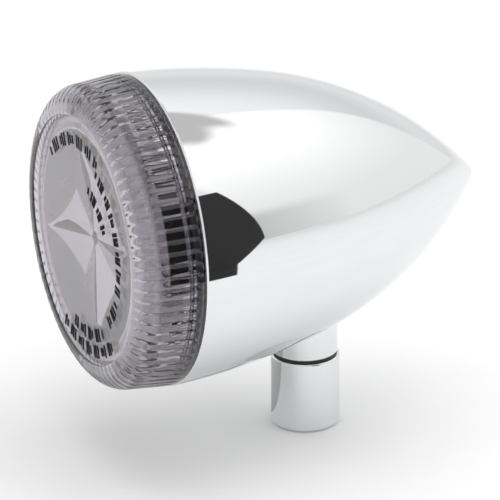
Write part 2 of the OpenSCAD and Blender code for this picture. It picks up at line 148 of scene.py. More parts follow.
class SignalColours(bpy.types.PropertyGroup):
    chrome: colour_property("Chrome", "Chrome plate", "E8E9EA")
    lens: colour_property("Lens face", "Smoke tint of the lens's face", "D6D2D8")
    skirt: colour_property("Lens skirt", "Smoke tint of the lens's shoulder and skirt", "B3AFB5")
    reflector: colour_property("Star", "Metallised star of the reflector", "F4F4F6")
    # The bowl's grey tint is painted shade: darker than the star, it stands in for the shaded floor that the
    # bowl reflects.
    bowl: colour_property("Bowl", "Metallised bowl of the reflector", "A2A5A3")
    # The petal's dark colour is a painted dark reflection laid on the scoops, not a texture of them.
    petal: colour_property("Petal", "Textured scoops in the star's arms", "56595A")
    ink: colour_property("Print", "Printed index marks", "101012")
    rubber: colour_property("Rubber", "Seals and grommet", "141414")
    floor: colour_property("Floor", "Studio floor", "F4F4F4")


# Materials

NOISE = "ShaderNodeTexNoise"
RANGE = "ShaderNodeMapRange"
RAMP = "ShaderNodeValToRGB"
BUMP = "ShaderNodeBump"
MAPPING = "ShaderNodeMapping"
MATH = "ShaderNodeMath"


def feed(tree, node, values):
    """Fills a node's inputs. A value is set on the socket itself, an output is linked to it, and a node
    stands for its first output."""
    for key, value in values.items():
        if isinstance(value, bpy.types.Node):
            value = value.outputs[0]
        if isinstance(value, bpy.types.NodeSocket):
            tree.links.new(value, node.inputs[key])
        else:
            node.inputs[key].default_value = value


def put(tree, kind, values=None, stops=(), **settings):
    """Adds a node with its settings, its stops if it is a colour ramp, and its values and links."""
    made = tree.nodes.new(kind)
    for key, value in settings.items():
        setattr(made, key, value)
    for i, (position, colour) in enumerate(stops):
        elements = made.color_ramp.elements
        element = elements[i] if i < len(elements) else elements.new(1)
        element.position, element.color = position, colour
    feed(tree, made, values or {})
    return made


def per(size_mm):
    """The texture scale whose features are size_mm across on Object coordinates in metres."""
    return 1 / (size_mm * MM)


def new_material(name):
    """An empty material with a Principled surface and Object coordinates."""
    material = bpy.data.materials.new(name)
    material.use_nodes = True
    tree = material.node_tree
    tree.nodes.clear()
    surface = put(tree, "ShaderNodeBsdfPrincipled")
    put(tree, "ShaderNodeOutputMaterial", {"Surface": surface})
    return material, tree, surface, put(tree, "ShaderNodeTexCoord").outputs["Object"]


def chrome_on_casting(tint):
    """Decorative chrome on a hand-polished die casting: a mirror with a slow, shallow wave from the
    polishing wheel and a faint haze that comes and goes."""
    material, tree, surface, at = new_material("chrome_plate_on_polished_casting")
    haze = put(tree, NOISE, {"Vector": at, "Scale": per(14), "Detail": 3.0})
    rough = put(tree, RANGE, {"Value": haze, "To Min": 0.012, "To Max": 0.045})
    wave = put(tree, NOISE, {"Vector": at, "Scale": per(11), "Detail": 1.0})
    bump = put(tree, BUMP, {"Height": wave, "Distance": 0.004 * MM, "Strength": 1.0})
    feed(tree, surface, {"Base Color": tint, "Metallic": 1.0, "Roughness": rough, "Normal": bump})
    return material


def chrome_on_turning(tint):
    """Chrome on turned steel: a mirror with the fine rings that the lathe tool leaves round the stem."""
    material, tree, surface, at = new_material("chrome_plate_on_turned_steel")
    haze = put(tree, NOISE, {"Vector": at, "Scale": per(6), "Detail": 3.0})
    rough = put(tree, RANGE, {"Value": haze, "To Min": 0.015, "To Max": 0.05})
    # Stretched round the stem, so that the pattern only changes along it.
    flat = put(tree, MAPPING, {"Vector": at, "Scale": (0.02, 0.02, 1)})
    rings = put(tree, NOISE, {"Vector": flat, "Scale": per(0.35), "Detail": 2.0})
    bump = put(tree, BUMP, {"Height": rings, "Distance": 0.0006 * MM, "Strength": 1.0})
    feed(tree, surface, {"Base Color": tint, "Metallic": 1.0, "Roughness": rough, "Normal": bump})
    return material


def smoked_polycarbonate(name, tint):
    """Injection-moulded polycarbonate with a smoke tint: clear and glossy, with the slight flow ripple and
    faint haze of a moulding. Its tint is deeper where the light's way through the wall is longer."""
    material, tree, surface, at = new_material(name)
    haze = put(tree, NOISE, {"Vector": at, "Scale": per(5), "Detail": 3.0})
    rough = put(tree, RANGE, {"Value": haze, "To Min": 0.0, "To Max": 0.03})
    ripple = put(tree, NOISE, {"Vector": at, "Scale": per(4), "Detail": 1.0})
    bump = put(tree, BUMP, {"Height": ripple, "Distance": 0.0015 * MM, "Strength": 1.0})
    feed(tree, surface, {"Base Color": tint, "IOR": 1.585, "Transmission Weight": 1.0})
    feed(tree, surface, {"Roughness": rough, "Normal": bump})
    return material


def metallised_moulding(name, tint, low):
    """Vacuum-metallised plastic: a silver film that keeps the moulding's slight ripple and is a little
    softer than a glass mirror. Its roughness runs from low to twice that."""
    material, tree, surface, at = new_material(name)
    haze = put(tree, NOISE, {"Vector": at, "Scale": per(2.5), "Detail": 3.0})
    rough = put(tree, RANGE, {"Value": haze, "To Min": low, "To Max": 2 * low})
    ripple = put(tree, NOISE, {"Vector": at, "Scale": per(1.8), "Detail": 2.0})
    bump = put(tree, BUMP, {"Height": ripple, "Distance": 0.004 * MM, "Strength": 1.0})
    feed(tree, surface, {"Base Color": tint, "Metallic": 1.0, "Roughness": rough, "Normal": bump})
    return material


def pad_print(tint):
    """Pad-printed ink: a thin matt film with small breaks where it has worn."""
    material, tree, surface, at = new_material("pad_printed_ink")
    wear = put(tree, NOISE, {"Vector": at, "Scale": per(0.25), "Detail": 4.0})
    worn = put(tree, RAMP, {"Fac": wear}, [(0.0, linear("1E1E22")), (0.4, tint), (1.0, tint)])
    grain = put(tree, NOISE, {"Vector": at, "Scale": per(0.4), "Detail": 2.0})
    rough = put(tree, RANGE, {"Value": grain, "To Min": 0.75, "To Max": 0.95})
    feed(tree, surface, {"Base Color": worn, "Roughness": rough, "Specular IOR Level": 0.15})
    return material


def moulded_rubber(tint):
    """Nitrile rubber from a mould: dull black with a fine grain and a bloom of dust grey."""
    material, tree, surface, at = new_material("moulded_nitrile_rubber")
    dust = put(tree, NOISE, {"Vector": at, "Scale": per(1.5), "Detail": 4.0})
    bloom = put(tree, RAMP, {"Fac": dust}, [(0.3, tint), (1.0, linear("2C2C2B"))])
    sheen = put(tree, NOISE, {"Vector": at, "Scale": per(0.6), "Detail": 3.0})
    rough = put(tree, RANGE, {"Value": sheen, "To Min": 0.55, "To Max": 0.8})
    grain = put(tree, NOISE, {"Vector": at, "Scale": per(0.12), "Detail": 3.0})
    bump = put(tree, BUMP, {"Height": grain, "Distance": 0.01 * MM, "Strength": 1.0})
    feed(tree, surface, {"Base Color": bloom, "Roughness": rough, "Normal": bump})
    return material


def moulded_plastic(name, low, high, grain_mm, middle):
    """A moulded plastic or pressed body: a fine grain that breaks up its colour and its gloss."""
    material, tree, surface, at = new_material(name)
    clouds = put(tree, NOISE, {"Vector": at, "Scale": per(4 * grain_mm), "Detail": 4.0})
    body = put(tree, RAMP, {"Fac": clouds}, [(0.3, linear(low)), (0.75, linear(high))])
    sheen = put(tree, NOISE, {"Vector": at, "Scale": per(2 * grain_mm), "Detail": 3.0})
    rough = put(tree, RANGE, {"Value": sheen, "To Min": middle - 0.08, "To Max": middle + 0.08})
    grain = put(tree, NOISE, {"Vector": at, "Scale": per(grain_mm), "Detail": 3.0})
    bump = put(tree, BUMP, {"Height": grain, "Distance": 0.05 * grain_mm * MM, "Strength": 1.0})
    feed(tree, surface, {"Base Color": body, "Roughness": rough, "Normal": bump})
    return material


def worked_metal(name, low, high, stretch, line_mm, middle):
    """Plain worked metal: fine lines along one direction, from rolling, turning or drawing."""
    material, tree, surface, at = new_material(name)
    along = put(tree, MAPPING, {"Vector": at, "Scale": stretch})
    lines = put(tree, NOISE, {"Vector": along, "Scale": per(line_mm), "Detail": 3.0})
    metal = put(tree, RAMP, {"Fac": lines}, [(0.3, linear(low)), (0.7, linear(high))])
    rough = put(tree, RANGE, {"Value": lines, "To Min": middle - 0.07, "To Max": middle + 0.1})
    bump = put(tree, BUMP, {"Height": lines, "Distance": 0.004 * MM, "Strength": 1.0})
    feed(tree, surface, {"Base Color": metal, "Metallic": 1.0, "Roughness": rough, "Normal": bump})
    return material


def turned_face(name, low, high, groove_mm):
    """A face cut on a lathe: concentric grooves round the bullet's axis, left by the tool."""
    material, tree, surface, at = new_material(name)
    centred = put(tree, MAPPING, {"Vector": at, "Location": (0, 0, -AXIS_Z), "Scale": (1, 0, 1)})
    # The wave's phase is 20 times its scale times the radius, so the grooves lie 2 pi groove_mm apart.
    wave = put(
        tree,
        "ShaderNodeTexWave",
        {"Vector": centred, "Scale": per(groove_mm) / 20, "Distortion": 0.2},
        wave_type="RINGS",
        rings_direction="SPHERICAL",
    )
    rings = wave.outputs["Fac"]
    metal = put(tree, RAMP, {"Fac": rings}, [(0.2, linear(low)), (0.8, linear(high))])
    rough = put(tree, RANGE, {"Value": rings, "To Min": 0.22, "To Max": 0.38})
    bump = put(tree, BUMP, {"Height": rings, "Distance": 0.01 * MM, "Strength": 1.0})
    feed(tree, surface, {"Base Color": metal, "Metallic": 1.0, "Roughness": rough, "Normal": bump})
    return material


def solder_mask(name, mask, track, pitch_mm):
    """A printed circuit board: solder mask, with the copper tracks under it as paler, raised bands."""
    material, tree, surface, at = new_material(name)
    flat = put(tree, MAPPING, {"Vector": at, "Rotation": (math.pi / 2, 0, 0)})
    tracks = put(
        tree,
        "ShaderNodeTexBrick",
        {
            "Vector": flat,
            "Color1": linear(mask),
            "Color2": linear(mask),
            "Mortar": linear(track),
            "Scale": per(pitch_mm),
            "Mortar Size": 0.12,
            "Brick Width": 2.6,
            "Row Height": 0.8,
        },
    ).outputs
    sheen = put(tree, NOISE, {"Vector": at, "Scale": per(1.2), "Detail": 3.0})
    rough = put(tree, RANGE, {"Value": sheen, "To Min": 0.25, "To Max": 0.42})
    bump = put(tree, BUMP, {"Height": tracks["Fac"], "Distance": 0.03 * MM, "Strength": 1.0})
    feed(tree, surface, {"Base Color": tracks["Color"], "Roughness": rough, "Normal": bump})
    return material


def clear_silicone(name, tint, low):
    """Cast silicone gel: clear, a little soft at the surface."""
    material, tree, surface, at = new_material(name)
    haze = put(tree, NOISE, {"Vector": at, "Scale": per(0.8), "Detail": 2.0})
    rough = put(tree, RANGE, {"Value": haze, "To Min": low, "To Max": low + 0.08})
    ripple = put(tree, NOISE, {"Vector": at, "Scale": per(0.9), "Detail": 2.0})
    bump = put(tree, BUMP, {"Height": ripple, "Distance": 0.004 * MM, "Strength": 1.0})
    feed(tree, surface, {"Base Color": linear(tint), "IOR": 1.41, "Transmission Weight": 0.85})
    feed(tree, surface, {"Roughness": rough, "Normal": bump})
    return material


def studio_paper(tint):
    """Matt background paper, with the faint mottle of its fibres."""
    material, tree, surface, at = new_material("matt_background_paper")
    fibres = put(tree, NOISE, {"Vector": at, "Scale": per(30), "Detail": 3.0})
    paper = put(tree, RAMP, {"Fac": fibres}, [(0.2, tint), (0.9, linear("FAFAFA"))])
    feed(tree, surface, {"Base Color": paper, "Roughness": 0.9, "Specular IOR Level": 0.1})
    return material


# Shapes


def arc(centre, radius, start, end, steps):
    """Points on an arc between two angles in degrees, as (radius from the axis, distance along it)."""
    angles = [math.radians(start + (end - start) * i / steps) for i in range(steps + 1)]
    return [(centre[0] + radius * math.cos(a), centre[1] + radius * math.sin(a)) for a in angles]


def line(start, end, steps):
    """Points on a straight line between two points, both ends included."""
    return [tuple(a + (b - a) * i / steps for a, b in zip(start, end)) for i in range(steps + 1)]


def settle(bm, sharp=40, close=1e-7):
    """Merges doubles, turns the faces outwards and marks the edges that stay sharp."""
    bmesh.ops.remove_doubles(bm, verts=bm.verts, dist=close)
    bmesh.ops.recalc_face_normals(bm, faces=bm.faces)
    for face in bm.faces:
        face.smooth = True
    for edge in bm.edges:
        if len(edge.link_faces) == 2:
            edge.smooth = edge.calc_face_angle() < math.radians(sharp)


def new_object(bm, name, *materials):
    """Turns a bmesh into an object at the origin."""
    mesh = bpy.data.meshes.new(name)
    bm.to_mesh(mesh)
    bm.free()
    for material in materials:
        mesh.materials.append(material)
    made = bpy.data.objects.new(name, mesh)
    bpy.context.scene.collection.objects.link(made)
    return made


def piece(bm, name, materials, body, slot, *nodes):
    """Turns a bmesh into a finished piece that rides on a body and stands for CAD nodes."""
    made = new_object(bm, name, *materials)
    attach(made, body)
    if nodes:
        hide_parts(*nodes)
    return made


def lathe(outline, steps, axis, closed=False, angle=TURN):
    """Turns a half outline, (radius, distance along the axis), round the bullet's axis or the stem's."""
    centre, direction = axis
    bm = bmesh.new()
    verts = [bm.verts.new(centre + Vector((max(r, 0), 0, 0)) + direction * along) for r, along in outline]
    pairs = list(zip(verts, verts[1:])) + ([(verts[-1], verts[0])] if closed else [])
    edges = [bm.edges.new(pair) for pair in pairs]
    about = {"cent": centre, "axis": direction, "angle": angle, "steps": steps}
    bmesh.ops.spin(bm, geom=verts + edges, use_merge=angle == TURN, **about)
    return bm


def ahead(points):
    """Outline points given as (radius, distance ahead of the seam), as places along Y."""
    return [(r, SEAM_Y - along) for r, along in points]


def facing(along):
    """Lays the XY plane across the bullet at a distance ahead of the seam. Z then points ahead, and Y up."""
    return Matrix.Translation((0, SEAM_Y - along, AXIS_Z)) @ Matrix.Rotation(math.pi / 2, 4, "X")


def split_at(bm, radius):
    """Gives the second material to the faces that lie further than a radius from the bullet's axis."""
    for face in bm.faces:
        middle = face.calc_center_median() - BULLET_AXIS[0]
        face.material_index = int(math.hypot(middle.x, middle.z) > radius)


def bore(shape, radius, depth, segments, place):
    """Cuts a round hole through a piece. The place carries the hole's own centre and direction."""
    bm = bmesh.new()
    bmesh.ops.create_cone(bm, segments=segments, radius1=radius, radius2=radius, depth=depth, cap_ends=True)
    bmesh.ops.transform(bm, matrix=place, verts=bm.verts)
    tool = new_object(bm, shape.name + "_bore")
    cut = shape.modifiers.new("bore", "BOOLEAN")
    cut.operation = "DIFFERENCE"
    cut.solver = "EXACT"
    cut.object = tool
    made = bpy.data.meshes.new_from_object(shape.evaluated_get(bpy.context.evaluated_depsgraph_get()))
    shape.modifiers.clear()
    shape.data = made
    bpy.data.objects.remove(tool)


class Meridian:
    """The housing's outline: a long arc from the seam, a nose arc tangent to it, and a rounded tip."""

    def __init__(self, sizes):
        self.rear_r = sizes.rear_arc_r
        self.join = sizes.arc_join
        self.tip_r = sizes.tip_r
        crown = BODY_R + self.rear_r - math.sqrt(self.rear_r**2 - sizes.crown_ahead**2)
        self.rear = Vector((crown - self.rear_r, -sizes.crown_ahead))
        self.turn = math.asin((self.join + sizes.crown_ahead) / self.rear_r)
        out = Vector((math.cos(self.turn), math.sin(self.turn)))
        start = self.rear + self.rear_r * out
        self.tip = Vector((0, BODY_LEN - self.tip_r))
        gap = start - self.tip
        self.nose_r = (gap.length_squared - self.tip_r**2) / (2 * (gap.dot(out) - self.tip_r))
        self.nose = start - self.nose_r * out
        to_tip = self.tip - self.nose
        self.tip_turn = math.atan2(to_tip.y, to_tip.x)

    def radius(self, along):
        """Outside radius at a distance behind the seam."""
        centre, radius = (self.rear, self.rear_r) if along < self.join else (self.nose, self.nose_r)
        return centre.x + math.sqrt(max(radius**2 - (along - centre.y) ** 2, 0))

    def points(self, inset, start, steps):
        """The two long arcs, inset by a wall, from a distance behind the seam up to the tip's own arc."""
        first = math.degrees(math.asin((start - self.rear.y) / (self.rear_r - inset)))
        turn, last = math.degrees(self.turn), math.degrees(self.tip_turn)
        rear = arc(self.rear, self.rear_r - inset, first, turn, steps)
        return rear + arc(self.nose, self.nose_r - inset, turn, last, 2 * steps)[1:]


def belly_height(meridian, x, y):
    """Height of the housing's underside above a point of the stem's plane."""
    radius = meridian.radius(y - SEAM_Y)
    return AXIS_Z - math.sqrt(max(radius**2 - x**2, 0))


def make_housing(sizes, colours):
    """The bullet shell with its collar, bored for the swivel, and the stub with its fillet and seat."""
    chrome = chrome_on_casting(colours.chrome)
    meridian = Meridian(sizes)
    edge = sizes.seam_round
    clearance = 0.15 * MM
    collar_r = LENS_R - sizes.skirt_wall - clearance
    collar_in_r = collar_r - 2 * MM
    outside = meridian.points(0, edge, 36)
    tip_angle = math.degrees(meridian.tip_turn)
    tip = arc(meridian.tip, meridian.tip_r, tip_angle, 90, 10)[1:]
    front = arc((BODY_R - edge, edge), edge, 0, -90, 6)
    seal_low, seal_high = (corner.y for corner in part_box("lens_seal"))
    seal_d = seal_high - seal_low
    slack = 0.1 * seal_d
    near, far = SEAM_Y - seal_high - slack, SEAM_Y - seal_low + slack
    groove_r = collar_r + clearance - seal_d
    groove = [(collar_r, -near), (groove_r, -near), (groove_r, -far), (collar_r, -far)]
    round_r = sizes.collar_round
    lip = arc((collar_r - round_r, round_r - COLLAR_LEN), round_r, 0, -90, 14)
    snap_r = 0.35 * MM
    snap = arc((collar_r, -sizes.snap_at), snap_r, 90, -90, 8)
    cavity_start = 4 * MM
    cavity_end = BODY_LEN - sizes.tip_solid
    inside = [p for p in meridian.points(sizes.wall, cavity_start, 16) if p[1] < cavity_end and p[0] > 0]
    outline = (
        [(0, BODY_LEN)]
        + list(reversed(outside + tip[:-1]))
        + front
        + [(collar_r, 0)]
        + groove
        + snap
        + lip
        + line((collar_in_r, -COLLAR_LEN), (collar_in_r, cavity_start), 3)
        + inside
        + [(inside[-1][0], cavity_end), (0, cavity_end)]
    )
    bm = lathe([(r, SEAM_Y + along) for r, along in outline], 288, BULLET_AXIS)
    settle(bm)
    shell = piece(bm, "housing_shell", [chrome], "head", "chrome_housing", "housing")
    # The stub passes through this hole and laps it by 0.7 mm.
    bore(shell, sizes.stub_r - 0.7 * MM, 14 * MM, 96, Matrix.Translation((0, 0, SEAT_TOP - 4 * MM)))

    bore_r = 4.05 * MM
    chamfer = 0.15 * MM
    round_r = 0.3 * MM
    seat_r = 8.2 * MM
    seat_d = 1.2 * MM
    fillet = sizes.stub_fillet
    rise = 8
    steps = [i / rise for i in range(rise + 1)]
    flare = [(sizes.stub_r + fillet * t**2, -fillet * (1 - t) ** 2) for t in steps]
    # The stub's upper end is drawn at this height and then laid against the housing's underside.
    drawn_at = 100 * MM
    outline = (
        arc((bore_r + chamfer, STUB_Z + chamfer), chamfer, 180, 270, 3)
        + arc((sizes.stub_r - round_r, STUB_Z + round_r), round_r, -90, 0, 5)
        + [(r, drawn_at + z) for r, z in flare]
        + [(sizes.stub_r + fillet, drawn_at + seat_d), (seat_r, drawn_at + seat_d)]
        + [(seat_r, SEAT_TOP), (bore_r, SEAT_TOP)]
    )
    bm = lathe(outline, 128, STEM_AXIS, closed=True)
    for vert in bm.verts:
        if vert.co.z > drawn_at / 2:
            vert.co.z += belly_height(meridian, vert.co.x, vert.co.y) - drawn_at
    settle(bm)
    piece(bm, "housing_stub", [chrome], "head", "chrome_housing", "housing")

    lug_len = 8 * MM
    bm = bmesh.new()
    for i in range(3):
        lug = bmesh.ops.create_cone(
            bm, segments=32, radius1=3 * MM, radius2=2.85 * MM, depth=lug_len, cap_ends=True, cap_tris=False
        )["verts"]
        web = bmesh.ops.create_cube(bm, size=1)["verts"]
        bmesh.ops.scale(bm, verts=web, vec=(6.2 * MM, 5 * MM, lug_len))
        bmesh.ops.translate(bm, verts=web, vec=(4.1 * MM, 0, 0))
        turn = Matrix.Rotation(math.radians(90 + 120 * i), 4, "Z")
        outwards = Matrix.Translation((FLANGE_R - 3.55 * MM, 0, 0))
        place = facing(SINK_BACK - lug_len / 2) @ turn @ outwards
        bmesh.ops.transform(bm, matrix=place, verts=lug + web)
    settle(bm)
    piece(bm, "screw_lugs", [chrome], "head", "chrome_housing", "housing")


def make_lens(sizes, colours):
    """The lens cap: a face inside a rim bead, a fluted shoulder and skirt, and a plain lip at the seam."""
    thin = smoked_polycarbonate("smoke_tinted_polycarbonate_face", colours.lens)
    deep = smoked_polycarbonate("smoke_tinted_polycarbonate_skirt", colours.skirt)
    shoulder_at = LENS_LEN - sizes.shoulder_r
    out_r = LENS_R - sizes.skirt_taper
    face_r = out_r - sizes.shoulder_r
    face_at = LENS_LEN - sizes.face_drop
    face_in = face_at - sizes.face_wall
    skirt_in = LENS_R - sizes.skirt_wall
    bead = 0.25 * MM
    lip = 0.25 * MM
    chamfer = 0.2 * MM
    snap_r = 0.42 * MM
    # Samples across one flute: one flute is turned and pressed, and then repeated round the axis.
    samples = 12
    outer = (
        line((0, face_at), (face_r - 0.9 * MM, face_at), 6)
        + arc((face_r - bead - 0.1 * MM, LENS_LEN - bead), bead, 180, 90, 4)
        + arc((face_r, shoulder_at), sizes.shoulder_r, 90, 0, 26)
        + line((out_r, shoulder_at), (LENS_R, LIP_FADE + 0.1 * MM), 10)[1:]
        + line((LENS_R, LIP_FADE), (LENS_R, LIP_PLAIN), 6)
        + arc((LENS_R - lip, lip), lip, 0, -90, 4)
    )
    inner = (
        [(skirt_in + chamfer, 0), (skirt_in, chamfer)]
        + arc((skirt_in, sizes.snap_at), snap_r, -90, 90, 6)
        + arc((skirt_in - sizes.inner_arc_r, face_in - sizes.inner_arc_r), sizes.inner_arc_r, 0, 90, 18)
        + line((face_r - 3 * MM, face_in), (0, face_in), 4)
    )
    step = TURN / sizes.flutes
    bm = lathe(ahead(outer + inner), samples, BULLET_AXIS, angle=step)
    flute_lens(bm, sizes, face_r, shoulder_at, out_r)
    sector = bm.verts[:] + bm.edges[:] + bm.faces[:]
    about = {"cent": BULLET_AXIS[0], "axis": BULLET_AXIS[1], "angle": TURN - step, "steps": sizes.flutes - 1}
    bmesh.ops.spin(bm, geom=sector, use_duplicate=True, **about)
    settle(bm, 50, 2e-6)
    split_at(bm, face_r)
    piece(bm, "lens_cap", [thin, deep], "head", "smoked_lens", "lens")


def smooth_step(low, high, value):
    """0 below low, 1 above high, and an even blend between."""
    t = min(max((value - low) / (high - low), 0), 1)
    return t * t * (3 - 2 * t)


def flute_lens(bm, sizes, face_r, shoulder_at, out_r):
    """Presses the grooves between the flutes into the shoulder and the skirt."""
    step = TURN / sizes.flutes
    skin = 0.3 * MM
    fade_start, fade_end = math.radians(50), math.radians(86)
    for vert in bm.verts:
        x, z = vert.co.x, vert.co.z - AXIS_Z
        radius = math.hypot(x, z)
        along = SEAM_Y - vert.co.y
        from_centre = math.hypot(radius - face_r, along - shoulder_at)
        outside = radius > out_r - skin or from_centre > sizes.shoulder_r - skin
        if not outside or radius < face_r - 0.05 * MM or along < LIP_PLAIN - 0.1 * MM:
            continue
        if along > shoulder_at:
            turn = math.atan2(along - shoulder_at, radius - face_r)
            weight = 1 - smooth_step(fade_start, fade_end, turn)
        else:
            turn = 0
            weight = smooth_step(LIP_PLAIN, LIP_FADE, along)
        place = (math.atan2(z, x) / step) % 1
        edge = abs(2 * place - 1)
        groove = sizes.flute_groove * smooth_step(0.6, 1, edge)
        depth = weight * (sizes.flute_crown * edge**2 + groove)
        inwards = Vector((-x / radius * math.cos(turn), math.sin(turn), -z / radius * math.cos(turn)))
        vert.co += depth * inwards


def make_reflector(sizes, colours):
    """The reflector: a bowl, a flange of small prisms that reaches the collar, and a four-armed star."""
    bright = metallised_moulding("bright_metallised_moulding", colours.reflector, 0.05)
    # Same film as the star, with a satin roughness and a darker tint; the tint is painted shade for the
    # shaded floor seen in the bowl.
    satin_painted_shade = metallised_moulding("satin_metallised_moulding_painted_shade", colours.bowl, 0.16)
    # Dark colour of the scoops: a painted dark reflection.
    petal_painted_dark = metallised_moulding("petal_moulding_painted_dark", colours.petal, 0.3)
    edge = REFLECTOR_EDGE
    floor = edge - sizes.bowl_depth
    hub = sizes.hub_r
    width = sizes.bowl_r - hub
    arc_r = (width**2 + sizes.bowl_depth**2) / (2 * sizes.bowl_depth)
    rise = math.degrees(math.acos(1 - sizes.bowl_depth / arc_r))
    back = BOARD_FRONT
    hole_r = hub - 1.2 * MM
    # The pocket behind the hub makes room for the light package.
    pocket_r, pocket_top = 3.75 * MM, back + 1.1 * MM
    rim_r = 0.3 * MM
    outline = (
        [(hole_r, floor)]
        + arc((hub, floor + arc_r), arc_r, -90, rise - 90, 30)
        + arc((sizes.bowl_r + rim_r, edge - rim_r), rim_r, 90, 20, 5)
        + line((sizes.bowl_r + 0.7 * MM, edge - 0.35 * MM), (FLANGE_R, edge - sizes.flange_fall), 6)
        + [(FLANGE_R, back), (pocket_r, back), (pocket_r, pocket_top), (hole_r, pocket_top)]
    )
    prisms = 120
    prism_d = 0.3 * MM
    bm = lathe(ahead(outline), prisms * 4, BULLET_AXIS, closed=True)
    for vert in bm.verts:
        x, z = vert.co.x, vert.co.z - AXIS_Z
        radius = math.hypot(x, z)
        if sizes.bowl_r + 0.8 * MM < radius < FLANGE_R - 0.1 * MM and vert.co.y < SEAM_Y - floor:
            place = (math.atan2(z, x) * prisms / TURN) % 1
            vert.co.y += prism_d * abs(2 * place - 1)
    settle(bm)
    split_at(bm, sizes.bowl_r)
    piece(bm, "reflector_bowl", [satin_painted_shade, bright], "head", "metallised_reflector", "star_reflector")

    bm = star(sizes, edge, floor)
    looks = [bright, petal_painted_dark]
    crown = piece(bm, "reflector_star", looks, "head", "metallised_reflector", "star_reflector")
    bore(crown, sizes.window_r, 20 * MM, 64, facing(REFLECTOR_EDGE))


def star(sizes, edge, floor):
    """Four arms with curved-in sides. Each has a ridge, and a petal-shaped scoop along one side of it."""
    steps = 16
    tip = Vector((sizes.star_r, 0, edge - 0.05 * MM))
    middle = Vector((0, 0, edge - sizes.star_mid_drop))
    corner_at = edge - sizes.star_in_drop
    reach = sizes.star_in_r / math.sqrt(2)
    bm = bmesh.new()
    for side in (1, -1):
        corner = Vector((reach, side * reach, corner_at))
        chord = corner - tip
        inwards = Vector((-side * chord.y, side * chord.x, 0)).normalized() * -1
        bend = (tip + corner) / 2 + 2 * sizes.side_pull * inwards * (1 if inwards.y * side < 0 else -1)
        rows = []
        for i in range(steps + 1):
            t = i / steps
            ridge = tip.lerp(middle, t)
            rim = (1 - t) ** 2 * tip + 2 * t * (1 - t) * bend + t**2 * corner
            row = [ridge]
            swell = math.sin(math.pi * min(max((t - 0.12) / 0.82, 0), 1))
            if side < 0:
                across = (rim - ridge).normalized() if t else Vector((0, -1, 0))
                reached = min(sizes.petal_w * swell, 0.6 * (rim - ridge).length)
                row.append(ridge + across * reached - Vector((0, 0, sizes.petal_depth * swell)))
                row.append(ridge + across * (reached + 0.12 * MM * swell))
            row.append(rim)
            rows.append([bm.verts.new(v) for v in row])
        for near, far in zip(rows, rows[1:]):
            for strip, corners in enumerate(zip(near, near[1:], far[1:], far)):
                face = bm.faces.new(corners)
                # The scoop's faces take the second material, whose dark colour is a painted dark reflection.
                face.material_index = int(side < 0 and strip == 0)
    bmesh.ops.remove_doubles(bm, verts=bm.verts, dist=1e-6)
    arm = bm.verts[:] + bm.edges[:] + bm.faces[:]
    for turn in (90, 180, 270):
        copy = bmesh.ops.duplicate(bm, geom=arm)["geom"]
        moved = [v for v in copy if isinstance(v, bmesh.types.BMVert)]
        bmesh.ops.rotate(bm, verts=moved, matrix=Matrix.Rotation(math.radians(turn), 3, "Z"))
    bmesh.ops.remove_doubles(bm, verts=bm.verts, dist=1e-6)
    rim = [e for e in bm.edges if e.is_boundary]
    walls = bmesh.ops.extrude_edge_only(bm, edges=rim)["geom"]
    for vert in walls:
        if isinstance(vert, bmesh.types.BMVert):
            vert.co.z = floor - 0.4 * MM
    bmesh.ops.contextual_create(bm, geom=[e for e in bm.edges if e.is_boundary])
    bmesh.ops.transform(bm, matrix=facing(0) @ Matrix.Rotation(sizes.star_turn, 4, "Z"), verts=bm.verts)
    settle(bm, 12)
    return bm


def make_marks(colours):
    """Printed index marks on the face: rows of plain bars along arcs, with no lettering."""
    ink = pad_print(colours.ink)
    face_at = LENS_LEN - 0.25 * MM
    bm = bmesh.new()
    # Each row's radius in millimetres, where it starts and ends in degrees, and its number of bars.
    rows = (
        (17.5, 138, 70, 12),
        (15.6, 65, -13, 14),
        (10.6, 72, 31, 6),
        (15.6, -26, -42, 4),
        (16.5, -61, -100, 8),
        (19.4, -52, -112, 13),
    )
    bar_w, bar_t, pitch = 0.72, 0.03, 0.9
    long_bar, short_bar = 2.3, 1.5
    for radius, start, end, count in rows:
        for i in range(count):
            turn = math.radians(start + (end - start) * i / (count - 1))
            for stroke in range(1 + (i * 7 + count) % 2):
                bar = bmesh.ops.create_cube(bm, size=1)["verts"]
                tall = long_bar if (i + stroke) % 3 else short_bar
                bmesh.ops.scale(bm, verts=bar, vec=(bar_w * MM, tall * MM, bar_t * MM))
                shift = Matrix.Translation(((stroke * pitch - 0.3) * MM, radius * MM, face_at))
                spin = Matrix.Rotation(turn - math.pi / 2, 4, "Z")
                bmesh.ops.transform(bm, matrix=facing(0) @ spin @ shift, verts=bar)
    settle(bm)
    piece(bm, "index_marks", [ink], "head", "black_nylon")


